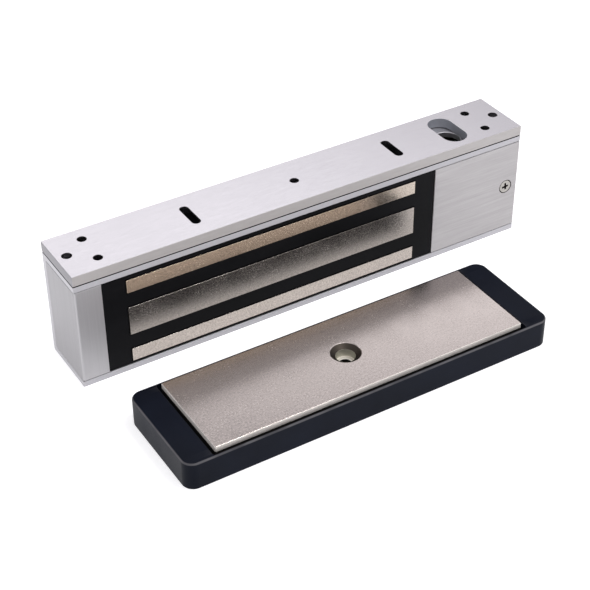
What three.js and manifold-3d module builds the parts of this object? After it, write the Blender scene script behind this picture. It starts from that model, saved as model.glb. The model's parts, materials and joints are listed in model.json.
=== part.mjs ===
// An electromagnetic door lock: the housed magnet, standing on its lower flange with its mounting
// plate on top, and the armature that the door carries, lying face up in front of it.
// Millimetres, +Z up. +X runs along the magnet, +Y towards its back. The origin is on the ground,
// under the middle of the whole arrangement.

import * as THREE from "three";
import { mergeVertices } from "three/addons/utils/BufferGeometryUtils.js";
import Module from "manifold-3d";

const wasm = await Module();
wasm.setup();

// ---------------------------------------------------------------- driving dimensions

const GAP = 0.3; // between pieces that touch or nearly touch
const ROUND = 20; // sides of a plain hole or shaft
const PAST = 1; // how far a cutting tool runs past the face it cuts

// The magnet, measured from its left end, its pole faces and the ground.
const LENGTH = 304.8;
const DEPTH = 41.3;
const HEIGHT = 76.2;
const PLATE_THICK = 6.35;
const SEAM = 0.45; // the dark line between the mounting plate and the channel
const CHANNEL_HEIGHT = HEIGHT - PLATE_THICK - SEAM;
const WALL = 3.8; // flanges and web of the channel
const LEFT_BLOCK = 16.8; // width of the solid left end
const COMPARTMENT = 64.8; // width of the wiring compartment at the right end
const RIGHT_BLOCK = 13.2;
const MID_Y = DEPTH / 2;
const CHANNEL_MID_Z = CHANNEL_HEIGHT / 2;

// The armature: the holder, and the steel plate that stands a little proud of it.
const HOLDER_LENGTH = 238.6;
const HOLDER_WIDTH = 68.6;
const HOLDER_HEIGHT = 17.7;
const HOLDER_CORNER = 7;
const HOLDER_EDGE = 1.2; // the softened upper edge
const ROOM_X = 2.4; // round the plate, at its ends
const ROOM_Y = 2.6; // and along its sides
const FLOOR = 3.5;
const STEEL_LENGTH = 200.8;
const STEEL_WIDTH = 61.2;
const STEEL_THICK = 12.7;
const STEEL_TOP = 19.9;

// Where the armature lies: square in front of the core, as it was put down.
const CORE_X = LEFT_BLOCK + (LENGTH - LEFT_BLOCK - COMPARTMENT) / 2;
const ARMATURE_X = CORE_X + 0.6;
const ARMATURE_Y = -72.3;

// The whole arrangement is centred on the origin.
const FRONT_Y = ARMATURE_Y - HOLDER_WIDTH / 2;
const ORIGIN_X = LENGTH / 2;
const ORIGIN_Y = (FRONT_Y + DEPTH) / 2;

// ---------------------------------------------------------------- materials

const finish = (color, roughness, metalness) => ({ color, roughness, metalness });
const BRUSHED = finish(0xb9b7bd, 0.35, 1);
const NICKEL = finish(0xa8a096, 0.38, 1);
const ZINC = finish(0xc9c5b8, 0.3, 1);
const BLACK_OXIDE = finish(0x2a2a2c, 0.5, 0.8);
const POTTING = finish(0x0c0c0f, 0.55, 0);
const BLACK_PLASTIC = finish(0x15171f, 0.5, 0);
const RUBBER = finish(0x1c1c1c, 0.85, 0);
const COPPER = finish(0xb06a3a, 0.35, 1);
const NYLON = finish(0xe4e0d4, 0.5, 0);
const BOARD = finish(0x1d5a36, 0.45, 0);
const GREEN_PLASTIC = finish(0x2e7d4f, 0.5, 0);
const VARISTOR_BLUE = finish(0x2a5fa5, 0.4, 0);
const RED_WIRE = finish(0xb3261e, 0.5, 0);
const BLACK_WIRE = finish(0x161616, 0.5, 0);
const GLASS_BODY = finish(0x1a1a1a, 0.4, 0);

// ---------------------------------------------------------------- solids

function toSolid(geometry) {
  const bare = geometry.index ? geometry.toNonIndexed() : geometry.clone();
  bare.deleteAttribute("normal");
  bare.deleteAttribute("uv");
  const merged = mergeVertices(bare, 1e-4);
  return new wasm.Manifold(
    new wasm.Mesh({
      numProp: 3,
      vertProperties: merged.attributes.position.array,
      triVerts: new Uint32Array(merged.index.array),
    }),
  );
}

function toGeometry(solid) {
  const mesh = solid.getMesh();
  const geometry = new THREE.BufferGeometry();
  geometry.setAttribute("position", new THREE.BufferAttribute(mesh.vertProperties, 3));
  geometry.setIndex(new THREE.BufferAttribute(mesh.triVerts, 1));
  geometry.computeVertexNormals();
  return geometry;
}

const cut = (base, tools) =>
  toGeometry(tools.reduce((left, tool) => left.subtract(toSolid(tool)), toSolid(base)));

const join = (pieces) =>
  toGeometry(pieces.slice(1).reduce((sum, piece) => sum.add(toSolid(piece)), toSolid(pieces[0])));

// A box between two opposite corners.
function box([x0, y0, z0], [x1, y1, z1]) {
  const geometry = new THREE.BoxGeometry(x1 - x0, y1 - y0, z1 - z0);
  return geometry.translate((x0 + x1) / 2, (y0 + y1) / 2, (z0 + z1) / 2);
}

// A surface of revolution about the Z axis. The profile is a list of [radius, z] that starts and
// ends on the axis and runs upwards, or that closes on itself for a ring.
function turned(profile, sides = ROUND) {
  const points = profile.map(([radius, z]) => new THREE.Vector2(radius, z));
  return new THREE.LatheGeometry(points, sides).rotateX(Math.PI / 2);
}

// A round bar or drill along Z through (x, y).
function roundZ(x, y, radius, z0, z1, sides = ROUND) {
  return turned([[0, z0], [radius, z0], [radius, z1], [0, z1]], sides).translate(x, y, 0);
}

// A round bar or drill along Y through (x, z).
function roundY(x, z, radius, y0, y1, sides = ROUND) {
  return facingFront([[0, -y1], [radius, -y1], [radius, -y0], [0, -y0]], x, 0, z, sides);
}

// A turned shape whose +Z looks out of the front, along -Y, set at (x, y, z).
function facingFront(profile, x, y, z, sides = ROUND) {
  return turned(profile, sides).rotateX(Math.PI / 2).translate(x, y, z);
}

// A flat ring or cone-sided hole tool along Z: radius low at z0 and high at z1.
function coneZ(x, y, low, high, z0, z1) {
  return turned([[0, z0], [low, z0], [high, z1], [0, z1]]).translate(x, y, 0);
}

// A rectangle with round corners, centred on (x, y), as a THREE.Shape.
function roundedRect(x, y, width, height, radius) {
  const left = x - width / 2;
  const right = x + width / 2;
  const low = y - height / 2;
  const high = y + height / 2;
  const shape = new THREE.Shape();
  shape.moveTo(left + radius, low);
  shape.lineTo(right - radius, low);
  shape.absarc(right - radius, low + radius, radius, -Math.PI / 2, 0);
  shape.lineTo(right, high - radius);
  shape.absarc(right - radius, high - radius, radius, 0, Math.PI / 2);
  shape.lineTo(left + radius, high);
  shape.absarc(left + radius, high - radius, radius, Math.PI / 2, Math.PI);
  shape.lineTo(left, low + radius);
  shape.absarc(left + radius, low + radius, radius, Math.PI, 1.5 * Math.PI);
  return shape;
}

// A shape in the XY plane, raised from z0 to z1.
function raised(shape, z0, z1, curveSegments = 3) {
  const options = { depth: z1 - z0, bevelEnabled: false, curveSegments };
  return new THREE.ExtrudeGeometry(shape, options).translate(0, 0, z0);
}

// A shape drawn with x along X and y along Z, run along Y from y0 to y1.
function alongY(shape, y0, y1, curveSegments = 3) {
  return raised(shape, -y1, -y0, curveSegments).rotateX(Math.PI / 2);
}

// A shape drawn with x along Y and y along Z, run along X from x0 to x1.
function alongX(shape, x0, x1) {
  const turn = new THREE.Matrix4().makeBasis(
    new THREE.Vector3(0, 1, 0),
    new THREE.Vector3(0, 0, 1),
    new THREE.Vector3(1, 0, 0),
  );
  return raised(shape, x0, x1).applyMatrix4(turn);
}

function polygon(points) {
  return new THREE.Shape(points.map(([x, y]) => new THREE.Vector2(x, y)));
}

// A round wire along a smooth curve through the points.
function wire(points, radius, steps) {
  const circle = new THREE.Shape().absarc(0, 0, radius, 0, 2 * Math.PI);
  const path = new THREE.CatmullRomCurve3(points.map((point) => new THREE.Vector3(...point)));
  const options = { extrudePath: path, steps, curveSegments: 4, bevelEnabled: false };
  return new THREE.ExtrudeGeometry(circle, options);
}

// Adds a named part to a group.
function add(group, name, geometry, look) {
  const mesh = new THREE.Mesh(geometry, new THREE.MeshStandardMaterial(look));
  mesh.name = name;
  group.add(mesh);
}

// ---------------------------------------------------------------- channel, plate and end blocks

const BOLT_INSET = 6.5; // from each end of the magnet
const BOLT_X = [BOLT_INSET, LENGTH - BOLT_INSET];
const BOLT_RADIUS = 2.7;
const BOLT_HOLE = 3.3;
const WIRE_HOLE_X = 263.2;
const WIRE_HOLE_RADIUS = 8.75;
const FIT_LOW = WALL + GAP; // the inner pieces stand between the flanges
const FIT_HIGH = CHANNEL_HEIGHT - WALL - GAP;
const FIT_BACK = DEPTH - WALL - GAP;

const COUNTERSINK = { head: 5.9, deep: 3.3 };

function housingChannel() {
  const section = polygon([
    [0, 0], [DEPTH, 0], [DEPTH, CHANNEL_HEIGHT], [0, CHANNEL_HEIGHT], [0, CHANNEL_HEIGHT - WALL],
    [DEPTH - WALL, CHANNEL_HEIGHT - WALL], [DEPTH - WALL, WALL], [0, WALL],
  ]);
  const holes = BOLT_X.flatMap((x) => [
    roundZ(x, MID_Y, BOLT_HOLE, -PAST, CHANNEL_HEIGHT + PAST),
    coneZ(x, MID_Y, COUNTERSINK.head, BOLT_HOLE, -0.01, COUNTERSINK.deep),
  ]);
  const wireHole = roundZ(WIRE_HOLE_X, MID_Y, WIRE_HOLE_RADIUS, CHANNEL_HEIGHT - WALL - PAST,
    CHANNEL_HEIGHT + PAST, 36);
  return cut(alongX(section, 0, LENGTH), [...holes, wireHole]);
}

const PLATE_LOW = HEIGHT - PLATE_THICK;
const SCREW_HOLE = 2.8;
const SCREW_HEAD = { radius: 5.5, deep: 2.7 };
const SLOT = { radius: 2.75, length: 20, x: [83, 221.8] };
const SLOT_POCKET = { radius: 5, length: 26, deep: 5 };
const WIRE_SLOT = { width: 15.9, length: 30.2 };
const PLATE_TAP = BOLT_RADIUS + GAP;

// The corner screws of the plate stand in a triangle with each bolt.
const PLATE_SCREWS = [
  [20.4, MID_Y - 10.5], [20.4, MID_Y + 10.5],
  [LENGTH - 20.4, MID_Y - 10.5], [LENGTH - 20.4, MID_Y + 10.5],
  [LENGTH / 2, MID_Y],
];

function mountingPlate() {
  const low = PLATE_LOW - PAST;
  const high = HEIGHT + PAST;
  const slotAt = (x, radius, length, z0, z1) =>
    raised(roundedRect(x, MID_Y, 2 * radius, length, radius), z0, z1);
  const screwHoles = PLATE_SCREWS.flatMap(([x, y]) => [
    roundZ(x, y, SCREW_HOLE, low, high),
    coneZ(x, y, SCREW_HEAD.radius, SCREW_HOLE, PLATE_LOW - 0.01, PLATE_LOW + SCREW_HEAD.deep),
  ]);
  const slots = SLOT.x.flatMap((x) => [
    slotAt(x, SLOT.radius, SLOT.length, low, high),
    slotAt(x, SLOT_POCKET.radius, SLOT_POCKET.length, low, PLATE_LOW + SLOT_POCKET.deep),
  ]);
  const taps = BOLT_X.map((x) => roundZ(x, MID_Y, PLATE_TAP, low, high));
  const wireSlot = slotAt(WIRE_HOLE_X, WIRE_SLOT.width / 2, WIRE_SLOT.length, low, high);
  return cut(box([0, 0, PLATE_LOW], [LENGTH, DEPTH, HEIGHT]),
    [...screwHoles, ...slots, ...taps, wireSlot]);
}

const COVER_THICK = 3;
const COVER_SCREW = { x: 296.3, z: CHANNEL_MID_Z, tap: 2.1, depth: 12 };

function leftEndBlock() {
  const soft = 1.2; // the outer front edge
  const outline = new THREE.Shape();
  outline.moveTo(soft, 0);
  outline.lineTo(LEFT_BLOCK - GAP, 0);
  outline.lineTo(LEFT_BLOCK - GAP, FIT_BACK);
  outline.lineTo(0, FIT_BACK);
  outline.lineTo(0, soft);
  outline.absarc(soft, soft, soft, Math.PI, 1.5 * Math.PI);
  const boltHole = roundZ(BOLT_X[0], MID_Y, BOLT_HOLE, FIT_LOW - PAST, FIT_HIGH + PAST);
  return cut(raised(outline, FIT_LOW, FIT_HIGH), [boltHole]);
}

function rightEndBlock() {
  const front = COVER_THICK + GAP;
  const block = box([LENGTH - RIGHT_BLOCK, front, FIT_LOW], [LENGTH, FIT_BACK, FIT_HIGH]);
  const boltHole = roundZ(BOLT_X[1], MID_Y, BOLT_HOLE, FIT_LOW - PAST, FIT_HIGH + PAST);
  const { x, z, tap, depth } = COVER_SCREW;
  return cut(block, [boltHole, roundY(x, z, tap, front - PAST, front + depth)]);
}

// A flat-headed bolt along Z, head down, with a hexagon socket.
function magnetBolt(x) {
  const head = COUNTERSINK.head - 2 * GAP;
  const lift = 0.2;
  const profile = [
    [0, lift], [head, lift], [BOLT_RADIUS, COUNTERSINK.deep - GAP],
    [BOLT_RADIUS, HEIGHT - 4], [BOLT_RADIUS - 0.6, HEIGHT - 3.4], [0, HEIGHT - 3.4],
  ];
  const socket = roundZ(0, 0, 2.3, -PAST, 2.6, 6);
  return cut(turned(profile), [socket]).translate(x, MID_Y, 0);
}

// ---------------------------------------------------------------- core, coil and potting

const POLES = { length: 194, outer: 8.5, middle: 18.8, window: 10.2, z: 34.1 };
const SPINE = { front: 22, back: 31 };
const CORE = { left: CORE_X - POLES.length / 2, right: CORE_X + POLES.length / 2 };
const MIDDLE_HALF = POLES.middle / 2;
const WINDOW_HALF = MIDDLE_HALF + POLES.window;
const CORE_HALF = WINDOW_HALF + POLES.outer;

// The E section: spine, two outer legs and the middle leg that the winding goes round.
function coreStack() {
  const z = POLES.z;
  const section = polygon([
    [0, z - CORE_HALF], [SPINE.back, z - CORE_HALF], [SPINE.back, z + CORE_HALF],
    [0, z + CORE_HALF], [0, z + WINDOW_HALF], [SPINE.front, z + WINDOW_HALF],
    [SPINE.front, z + MIDDLE_HALF], [0, z + MIDDLE_HALF], [0, z - MIDDLE_HALF],
    [SPINE.front, z - MIDDLE_HALF], [SPINE.front, z - WINDOW_HALF], [0, z - WINDOW_HALF],
  ]);
  return alongX(section, CORE.left, CORE.right);
}

const BOBBIN = { wall: 1, flange: 1, front: 3.3, back: SPINE.front - 0.5 };
const COIL_INSIDE = GAP + BOBBIN.wall + GAP; // from the middle leg to the first turn
const COIL_BUILD = 8;

// A rounded rectangle round the middle leg, grown on every side.
function aroundLeg(grow, radius, y0, y1) {
  const shape = roundedRect(CORE_X, POLES.z, POLES.length + 2 * grow, POLES.middle + 2 * grow,
    radius);
  return alongY(shape, y0, y1);
}

const ENVELOPE = POLES.window - GAP; // as far as the bobbin's flanges reach

function coilBobbin() {
  const { wall, flange, front, back } = BOBBIN;
  const sleeve = aroundLeg(GAP + wall, 1, front, back);
  const flanges = [
    aroundLeg(ENVELOPE, 6, front, front + flange),
    aroundLeg(ENVELOPE, 6, back - flange, back),
  ];
  return cut(join([sleeve, ...flanges]), [aroundLeg(GAP, 0.4, front - PAST, back + PAST)]);
}

function coilWinding() {
  const front = BOBBIN.front + BOBBIN.flange + GAP;
  const back = BOBBIN.back - BOBBIN.flange - GAP;
  const outside = aroundLeg(COIL_INSIDE + COIL_BUILD, 5, front, back);
  return cut(outside, [aroundLeg(COIL_INSIDE, 1.2, front - PAST, back + PAST)]);
}

const POTTING_FRONT = 0.5; // the poles stand this far proud of it
const POTTING_RIGHT = LENGTH - COMPARTMENT;
const LEDGE = 3; // what the cover's left edge rests on
const LEAD = { radius: 0.8, bore: 1.3, y: 12, z: [POLES.z - 3.5, POLES.z + 3.5] };

function potting() {
  const left = LEFT_BLOCK;
  const body = join([
    box([left, POTTING_FRONT, FIT_LOW], [POTTING_RIGHT, FIT_BACK, FIT_HIGH]),
    box([left, COVER_THICK + GAP, FIT_LOW], [POTTING_RIGHT + LEDGE, FIT_BACK, FIT_HIGH]),
  ]);
  const x0 = CORE.left - GAP;
  const x1 = CORE.right + GAP;
  const leg = (low, high) => box([x0, -PAST, low - GAP], [x1, SPINE.back + GAP, high + GAP]);
  const z = POLES.z;
  const room = [
    leg(z + WINDOW_HALF, z + CORE_HALF),
    leg(z - MIDDLE_HALF, z + MIDDLE_HALF),
    leg(z - CORE_HALF, z - WINDOW_HALF),
    box([x0, SPINE.front - GAP, z - CORE_HALF - GAP], [x1, SPINE.back + GAP, z + CORE_HALF + GAP]),
    aroundLeg(ENVELOPE + GAP, 6, BOBBIN.front - GAP, SPINE.front),
  ];
  const bores = LEAD.z.map((height) =>
    alongX(new THREE.Shape().absarc(LEAD.y, height, LEAD.bore, 0, 2 * Math.PI), CORE.right + 9,
      POTTING_RIGHT + LEDGE + PAST));
  return cut(body, [...room, ...bores]);
}

// ---------------------------------------------------------------- wiring compartment

const BOARD_BOX = { left: 247.5, right: 288.5, low: 9.5, high: 60, front: 29, thick: 1.6 };
const BOARD_MID_X = (BOARD_BOX.left + BOARD_BOX.right) / 2;
const ON_BOARD = BOARD_BOX.front - GAP; // the back of whatever sits on the board
const BOARD_SCREW_Z = { lower: 13, upper: 56 };

function compartmentCover() {
  const left = POTTING_RIGHT + GAP;
  const right = LENGTH;
  const soft = 0.4;
  const outline = new THREE.Shape();
  outline.moveTo(left, 0);
  outline.lineTo(right - soft, 0);
  outline.absarc(right - soft, soft, soft, -Math.PI / 2, 0);
  outline.lineTo(right, COVER_THICK);
  outline.lineTo(left, COVER_THICK);
  const { x, z } = COVER_SCREW;
  const bore = roundY(x, z, 2.3, -PAST, COVER_THICK + PAST);
  const sink = facingFront([[0, -2.6], [2.3, -2.6], [4.9, 0.1], [0, 0.1]], x, 0, z, 32);
  return cut(raised(outline, FIT_LOW, FIT_HIGH), [bore, sink]);
}

// Two crossed slots, for a Phillips recess, cut down from z = 0 along -Z.
function phillips(width, span, deep) {
  return [
    box([-span / 2, -width / 2, -deep], [span / 2, width / 2, PAST]),
    box([-width / 2, -span / 2, -deep], [width / 2, span / 2, PAST]),
  ];
}

function coverScrew() {
  const profile = [
    [0, -13], [1.2, -13], [1.8, -12.1], [1.8, -2.6], [4.2, 0], [4, 0.15], [0, 0.25],
  ];
  const { x, z } = COVER_SCREW;
  const lying = cut(turned(profile, 28), phillips(0.9, 4.4, 1.5));
  return lying.rotateZ(Math.PI / 9).rotateX(Math.PI / 2).translate(x, GAP, z);
}

function circuitBoard() {
  const { left, right, low, high, front, thick } = BOARD_BOX;
  const sheet = alongY(roundedRect((left + right) / 2, (low + high) / 2, right - left, high - low,
    1.5), front, front + thick);
  const holes = Object.values(BOARD_SCREW_Z).map((z) =>
    roundY(BOARD_MID_X, z, 1.8, front - PAST, front + thick + PAST));
  return cut(sheet, holes);
}

// A hexagonal standoff between the board and the web.
function standoff(z) {
  const front = BOARD_BOX.front + BOARD_BOX.thick + GAP;
  const bar = roundY(0, 0, 3.2, front, FIT_BACK, 6);
  return cut(bar, [roundY(0, 0, 1.6, front - PAST, front + 5)]).translate(BOARD_MID_X, 0, z);
}

// A pan-headed screw that holds the board on its standoff.
function boardScrew(z) {
  const profile = [
    [0, -6.3], [1.3, -6.3], [1.3, 0], [2.8, 0], [2.8, 0.9], [2.1, 1.7], [0, 1.9],
  ];
  const recess = phillips(0.6, 2.6, 1).map((tool) => tool.translate(0, 0, 1.9));
  return cut(turned(profile), recess).rotateX(Math.PI / 2).translate(BOARD_MID_X, ON_BOARD, z);
}

const TERMINALS = { count: 4, pitch: 5.08, low: 19, high: 29.5, front: 18.7 };
const TERMINAL_Z = TERMINALS.low + 4.4; // the screws' height
const terminalX = (index) => BOARD_MID_X + (index - (TERMINALS.count - 1) / 2) * TERMINALS.pitch;
const TERMINAL_NUMBERS = Array.from({ length: TERMINALS.count }, (_, index) => index);

function terminalBlock() {
  const { count, pitch, low, high, front } = TERMINALS;
  const half = (count * pitch) / 2 + 0.5;
  const chamfer = 2;
  const section = polygon([
    [front, low], [ON_BOARD, low], [ON_BOARD, high], [front + chamfer, high],
    [front, high - chamfer],
  ]);
  const body = alongX(section, BOARD_MID_X - half, BOARD_MID_X + half);
  const holes = TERMINAL_NUMBERS.flatMap((index) => {
    const x = terminalX(index);
    const entry = 1.7; // half the width of a wire entry
    return [
      roundY(x, TERMINAL_Z, 2.05, front - PAST, front + 6, 20),
      box([x - entry, front + 3, high - 5], [x + entry, front + 7, high + PAST]),
    ];
  });
  return cut(body, holes);
}

function terminalScrew(index) {
  const profile = [[0, -4.6], [1.2, -4.6], [1.2, -1.6], [1.75, -1.6], [1.75, -0.2], [1.6, 0], [0, 0]];
  const slot = box([-3, -0.3, -0.8], [3, 0.3, PAST]);
  const screw = cut(turned(profile, 20), [slot]).rotateX(Math.PI / 2);
  return screw.translate(terminalX(index), TERMINALS.front + 0.8, TERMINAL_Z);
}

function surgeVaristor() {
  const radius = 5;
  const profile = [[0, 0], [radius - 1, 0], [radius, 1], [radius, 2.8], [radius - 1, 3.8], [0, 3.8]];
  return facingFront(profile, BOARD_MID_X - 5, ON_BOARD, 39.5, 28);
}

// A glass diode lying along X, with its two leads bent down to the board.
function suppressionDiode() {
  const height = 2.6;
  const half = 2.6;
  const reach = 5;
  const body = turned([[0, -half], [1.35, -half], [1.35, half], [0, half]], 16);
  const leads = turned([[0, -reach], [0.35, -reach], [0.35, reach], [0, reach]], 12);
  const foot = (side) =>
    box([-height, -0.35, side * reach - 0.35], [0.3, 0.35, side * reach + 0.35]);
  const lying = join([body, leads, foot(-1), foot(1)]);
  lying.rotateY(Math.PI / 2).rotateX(Math.PI / 2);
  return lying.translate(BOARD_MID_X - 6, ON_BOARD - height, 50);
}

const HEADER = { x: 280.5, low: 35, pitch: 2.54, pins: 3, base: 2.5, reach: 8.5 };
const headerZ = (index) => HEADER.low + (index + 0.5) * HEADER.pitch;

function voltageHeader() {
  const half = HEADER.pitch / 2;
  const base = box([HEADER.x - half, ON_BOARD - HEADER.base, HEADER.low],
    [HEADER.x + half, ON_BOARD, HEADER.low + HEADER.pins * HEADER.pitch]);
  const pin = 0.32;
  const pins = Array.from({ length: HEADER.pins }, (_, index) =>
    box([HEADER.x - pin, ON_BOARD - HEADER.reach, headerZ(index) - pin],
      [HEADER.x + pin, ON_BOARD - 1, headerZ(index) + pin]));
  return join([base, ...pins]);
}

// The cap that bridges two of the header's three pins and selects the supply voltage.
function voltageJumper() {
  const back = ON_BOARD - HEADER.base - GAP;
  const front = back - 6.6;
  const half = 1.22;
  const low = headerZ(0) - half;
  const high = headerZ(1) + half;
  const cap = box([HEADER.x - half, front, low], [HEADER.x + half, back, high]);
  const hole = 0.62;
  const holes = [0, 1].map((index) =>
    box([HEADER.x - hole, front + 0.3, headerZ(index) - hole],
      [HEADER.x + hole, back + PAST, headerZ(index) + hole]));
  return cut(cap, holes);
}

// A lead from the coil's right end, out through the potting and up to the board.
function coilLead(height) {
  const start = CORE_X + POLES.length / 2 + COIL_INSIDE + COIL_BUILD + GAP;
  const end = ON_BOARD;
  const points = [
    [start, LEAD.y, height], [start + 5, LEAD.y, height], [POTTING_RIGHT + LEDGE, LEAD.y, height],
    [POTTING_RIGHT + LEDGE + 4.5, LEAD.y + 1.5, height],
    [POTTING_RIGHT + LEDGE + 7.6, LEAD.y + 6, height],
    [POTTING_RIGHT + LEDGE + 8.4, LEAD.y + 11, height], [POTTING_RIGHT + LEDGE + 8.5, end, height],
  ];
  return wire(points, LEAD.radius, 22);
}

// ---------------------------------------------------------------- armature

const STEEL_LOW = STEEL_TOP - STEEL_THICK;
const WASHER_SEAT = 1.2; // the floor's thickness under the washers
const WASHER = { inner: 4, steel: 0.9, rubber: 3, radius: 11, rubberRadius: 10 };
const GUIDE = { x: 50, radius: 2.4, inner: 1.5, hole: 3.5, low: 1.5, deep: 8 };
const HOLDER_SCREW = { x: 85, radius: 2.25, head: 4.4 };

function armatureHolder() {
  const outline = roundedRect(0, 0, HOLDER_LENGTH - 2 * HOLDER_EDGE, HOLDER_WIDTH - 2 * HOLDER_EDGE,
    HOLDER_CORNER - HOLDER_EDGE);
  const bevelled = new THREE.ExtrudeGeometry(outline, {
    depth: HOLDER_HEIGHT, bevelThickness: HOLDER_EDGE, bevelSize: HOLDER_EDGE, bevelSegments: 3,
    curveSegments: 4,
  }).translate(0, 0, -HOLDER_EDGE);
  const reach = HOLDER_LENGTH;
  const pocket = roundedRect(0, 0, STEEL_LENGTH + 2 * ROOM_X, STEEL_WIDTH + 2 * ROOM_Y, 1.5);
  const above = HOLDER_HEIGHT + PAST;
  const guides = [-GUIDE.x, GUIDE.x].map((x) => roundZ(x, 0, GUIDE.hole, -PAST, above));
  const screws = [-HOLDER_SCREW.x, HOLDER_SCREW.x].flatMap((x) => [
    roundZ(x, 0, HOLDER_SCREW.radius, -PAST, above),
    coneZ(x, 0, HOLDER_SCREW.radius, HOLDER_SCREW.head, 1.2, FLOOR + 0.01),
  ]);
  return cut(bevelled, [
    box([-reach, -reach, -reach], [reach, reach, 0]),
    raised(pocket, FLOOR, above),
    roundZ(0, 0, WASHER.radius + 1.5, WASHER_SEAT, above),
    roundZ(0, 0, 5.5, -PAST, above),
    ...guides,
    ...screws,
  ]);
}

const BOLT_WELL = { mouth: 9, bore: 5.8, cone: 2.4, ledge: 7.5, through: 3.3 };

function armaturePlate() {
  const edge = 0.4; // broken edges
  const outline = roundedRect(0, 0, STEEL_LENGTH - 2 * edge, STEEL_WIDTH - 2 * edge, 0.4);
  const slab = new THREE.ExtrudeGeometry(outline, {
    depth: STEEL_THICK - 2 * edge, bevelThickness: edge, bevelSize: edge, bevelSegments: 1,
    curveSegments: 2,
  }).translate(0, 0, STEEL_LOW + edge);
  const { mouth, bore, cone, ledge, through } = BOLT_WELL;
  const well = turned([
    [0, STEEL_LOW - PAST], [through, STEEL_LOW - PAST], [through, STEEL_TOP - ledge],
    [bore, STEEL_TOP - ledge], [bore, STEEL_TOP - cone], [mouth, STEEL_TOP],
    [mouth, STEEL_TOP + PAST], [0, STEEL_TOP + PAST],
  ], 40);
  const sockets = [-GUIDE.x, GUIDE.x].map((x) =>
    roundZ(x, 0, GUIDE.radius + GAP, STEEL_LOW - PAST, STEEL_LOW + GUIDE.deep));
  return cut(slab, [well, ...sockets]);
}

function washer(radius, inner, z0, z1) {
  return turned([[inner, z0], [radius, z0], [radius, z1], [inner, z1], [inner, z0]], 32);
}

// A rolled spring pin: a slit tube, pressed into the plate's back.
function guidePin(x) {
  const { radius, inner, low, deep } = GUIDE;
  const high = STEEL_LOW + deep - GAP;
  const tube = turned([
    [inner, low], [radius - 0.4, low], [radius, low + 0.6], [radius, high], [inner, high],
    [inner, low],
  ], 20);
  const slit = box([0, -0.4, low - PAST], [radius + PAST, 0.4, high + PAST]);
  return cut(tube, [slit]).translate(x, 0, 0);
}

// ---------------------------------------------------------------- assembly

const magnet = new THREE.Group();
magnet.position.set(-ORIGIN_X, -ORIGIN_Y, 0);
add(magnet, "housing_channel", housingChannel(), BRUSHED);
add(magnet, "mounting_plate", mountingPlate(), BRUSHED);
add(magnet, "left_end_block", leftEndBlock(), BRUSHED);
add(magnet, "right_end_block", rightEndBlock(), BRUSHED);
add(magnet, "magnet_bolt_left", magnetBolt(BOLT_X[0]), BLACK_OXIDE);
add(magnet, "magnet_bolt_right", magnetBolt(BOLT_X[1]), BLACK_OXIDE);
add(magnet, "core_stack", coreStack(), NICKEL);
add(magnet, "coil_bobbin", coilBobbin(), NYLON);
add(magnet, "coil_winding", coilWinding(), COPPER);
add(magnet, "potting", potting(), POTTING);
add(magnet, "coil_lead_black", coilLead(LEAD.z[0]), BLACK_WIRE);
add(magnet, "coil_lead_red", coilLead(LEAD.z[1]), RED_WIRE);
add(magnet, "compartment_cover", compartmentCover(), BRUSHED);
add(magnet, "cover_screw", coverScrew(), ZINC);
add(magnet, "circuit_board", circuitBoard(), BOARD);
for (const [where, z] of Object.entries(BOARD_SCREW_Z)) {
  add(magnet, `board_standoff_${where}`, standoff(z), ZINC);
  add(magnet, `board_screw_${where}`, boardScrew(z), ZINC);
}
add(magnet, "terminal_block", terminalBlock(), GREEN_PLASTIC);
for (const index of TERMINAL_NUMBERS) {
  add(magnet, `terminal_screw_${index + 1}`, terminalScrew(index), ZINC);
}
add(magnet, "surge_varistor", surgeVaristor(), VARISTOR_BLUE);
add(magnet, "suppression_diode", suppressionDiode(), GLASS_BODY);
add(magnet, "voltage_header", voltageHeader(), BLACK_PLASTIC);
add(magnet, "voltage_jumper", voltageJumper(), BLACK_PLASTIC);

const armature = new THREE.Group();
armature.position.set(ARMATURE_X - ORIGIN_X, ARMATURE_Y - ORIGIN_Y, 0);
const lowerWasher = WASHER_SEAT + GAP;
const rubberWasher = lowerWasher + WASHER.steel + GAP;
const upperWasher = rubberWasher + WASHER.rubber + GAP;
add(armature, "armature_holder", armatureHolder(), BLACK_PLASTIC);
add(armature, "armature_plate", armaturePlate(), NICKEL);
add(armature, "steel_washer_lower",
  washer(WASHER.radius, WASHER.inner, lowerWasher, lowerWasher + WASHER.steel), ZINC);
add(armature, "rubber_washer",
  washer(WASHER.rubberRadius, WASHER.inner, rubberWasher, rubberWasher + WASHER.rubber), RUBBER);
add(armature, "steel_washer_upper",
  washer(WASHER.radius, WASHER.inner, upperWasher, upperWasher + WASHER.steel), ZINC);
add(armature, "guide_pin_left", guidePin(-GUIDE.x), ZINC);
add(armature, "guide_pin_right", guidePin(GUIDE.x), ZINC);

const lock = new THREE.Group();
lock.add(magnet, armature);
export default lock;
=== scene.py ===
"""The looks of a magnetic door lock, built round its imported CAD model.

Every CAD node gets a finer piece that stands for it, in the same place and on the same body. Lengths
below are written in millimetres and turned into metres by MM; places come from the CAD nodes' boxes.
"""

import json
import math

import bpy
from mathutils import Matrix, Vector
from mathutils.geometry import tessellate_polygon


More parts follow.
